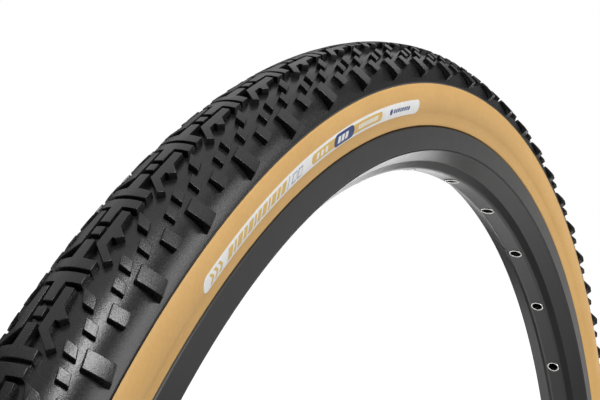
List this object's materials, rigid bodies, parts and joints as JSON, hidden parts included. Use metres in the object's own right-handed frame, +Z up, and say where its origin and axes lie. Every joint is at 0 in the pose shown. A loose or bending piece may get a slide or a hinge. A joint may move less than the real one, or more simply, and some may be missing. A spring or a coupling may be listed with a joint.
{
  "type": "bicycle tire on a bare rim",
  "caption": "Gravel bicycle tire with tan sidewalls and a blocky black tread, inflated on a bare black rim with a tubeless valve.",
  "frame": {"origin": "centre of the wheel, on the axle line and in the wheel's middle plane", "axes": "+Y along the axle, +Z up, +X across the upright wheel; the valve is at the bottom"},
  "size_m": [0.7076, 0.0424, 0.7076],
  "materials": {
    "tread_rubber": "matt charcoal rubber with a soft sheen",
    "belt_fabric": "woven aramid",
    "casing_fabric": "rubberised nylon",
    "sidewall_rubber": "matt tan rubber",
    "bead_aramid": "bundled aramid cord",
    "chafer_canvas": "rubberised canvas",
    "label_ink": "satin printed film",
    "rim_alloy": "black anodised, satin",
    "tape_film": "smooth polyester film",
    "eyelet_steel": "bright rolled steel",
    "valve_metal": "nickel plated",
    "valve_rubber": "moulded rubber",
    "valve_cap_plastic": "moulded plastic"
  },
  "bodies": {
    "wheel": {"tread": "tread_rubber", "puncture_belt": "belt_fabric", "casing": "casing_fabric", "sidewall_right": "sidewall_rubber", "bead_core_right": "bead_aramid", "chafer_right": "chafer_canvas", "sidewall_label_right": "label_ink", "sidewall_left": "sidewall_rubber", "bead_core_left": "bead_aramid", "chafer_left": "chafer_canvas", "sidewall_label_left": "label_ink", "rim": "rim_alloy", "rim_tape": "tape_film", "spoke_eyelet_01": "eyelet_steel", "spoke_eyelet_02": "eyelet_steel", "spoke_eyelet_03": "eyelet_steel", "spoke_eyelet_04": "eyelet_steel", "spoke_eyelet_05": "eyelet_steel", "spoke_eyelet_06": "eyelet_steel", "spoke_eyelet_07": "eyelet_steel", "spoke_eyelet_08": "eyelet_steel", "spoke_eyelet_09": "eyelet_steel", "spoke_eyelet_10": "eyelet_steel", "spoke_eyelet_11": "eyelet_steel", "spoke_eyelet_12": "eyelet_steel", "spoke_eyelet_13": "eyelet_steel", "spoke_eyelet_14": "eyelet_steel", "spoke_eyelet_15": "eyelet_steel", "spoke_eyelet_16": "eyelet_steel", "spoke_eyelet_17": "eyelet_steel", "spoke_eyelet_18": "eyelet_steel", "spoke_eyelet_19": "eyelet_steel", "spoke_eyelet_20": "eyelet_steel", "spoke_eyelet_21": "eyelet_steel", "spoke_eyelet_22": "eyelet_steel", "spoke_eyelet_23": "eyelet_steel", "spoke_eyelet_24": "eyelet_steel", "spoke_eyelet_25": "eyelet_steel", "spoke_eyelet_26": "eyelet_steel", "spoke_eyelet_27": "eyelet_steel", "spoke_eyelet_28": "eyelet_steel", "spoke_eyelet_29": "eyelet_steel", "spoke_eyelet_30": "eyelet_steel", "spoke_eyelet_31": "eyelet_steel", "spoke_eyelet_32": "eyelet_steel", "valve_base": "valve_rubber", "valve_stem": "valve_metal", "valve_seal_ring": "valve_rubber", "valve_core": "valve_metal"},
    "lock_nut": {"valve_lock_nut": "valve_metal"},
    "dust_cap": {"valve_cap": "valve_cap_plastic"},
    "pin": {"valve_pin": "valve_metal"},
    "core_nut": {"valve_core_nut": "valve_metal"}
  },
  "joints": [
    {"name": "lock_nut_travel", "type": "slide", "parent": "wheel", "child": "lock_nut", "axis": [0, 0, 1], "range_m": [0, 0.01]},
    {"name": "dust_cap_off", "type": "slide", "parent": "wheel", "child": "dust_cap", "axis": [0, 0, 1], "range_m": [0, 0.03]},
    {"name": "pin_press", "type": "slide", "parent": "wheel", "child": "pin", "axis": [0, 0, -1], "range_m": [0, 0.0015], "stiffness_N_per_m": 400},
    {"name": "core_nut_turn", "type": "hinge", "parent": "pin", "child": "core_nut", "pos_m": [0, 0, -0.2612], "axis": [0, 0, 1], "range_deg": [0, 1080]}
  ]
}
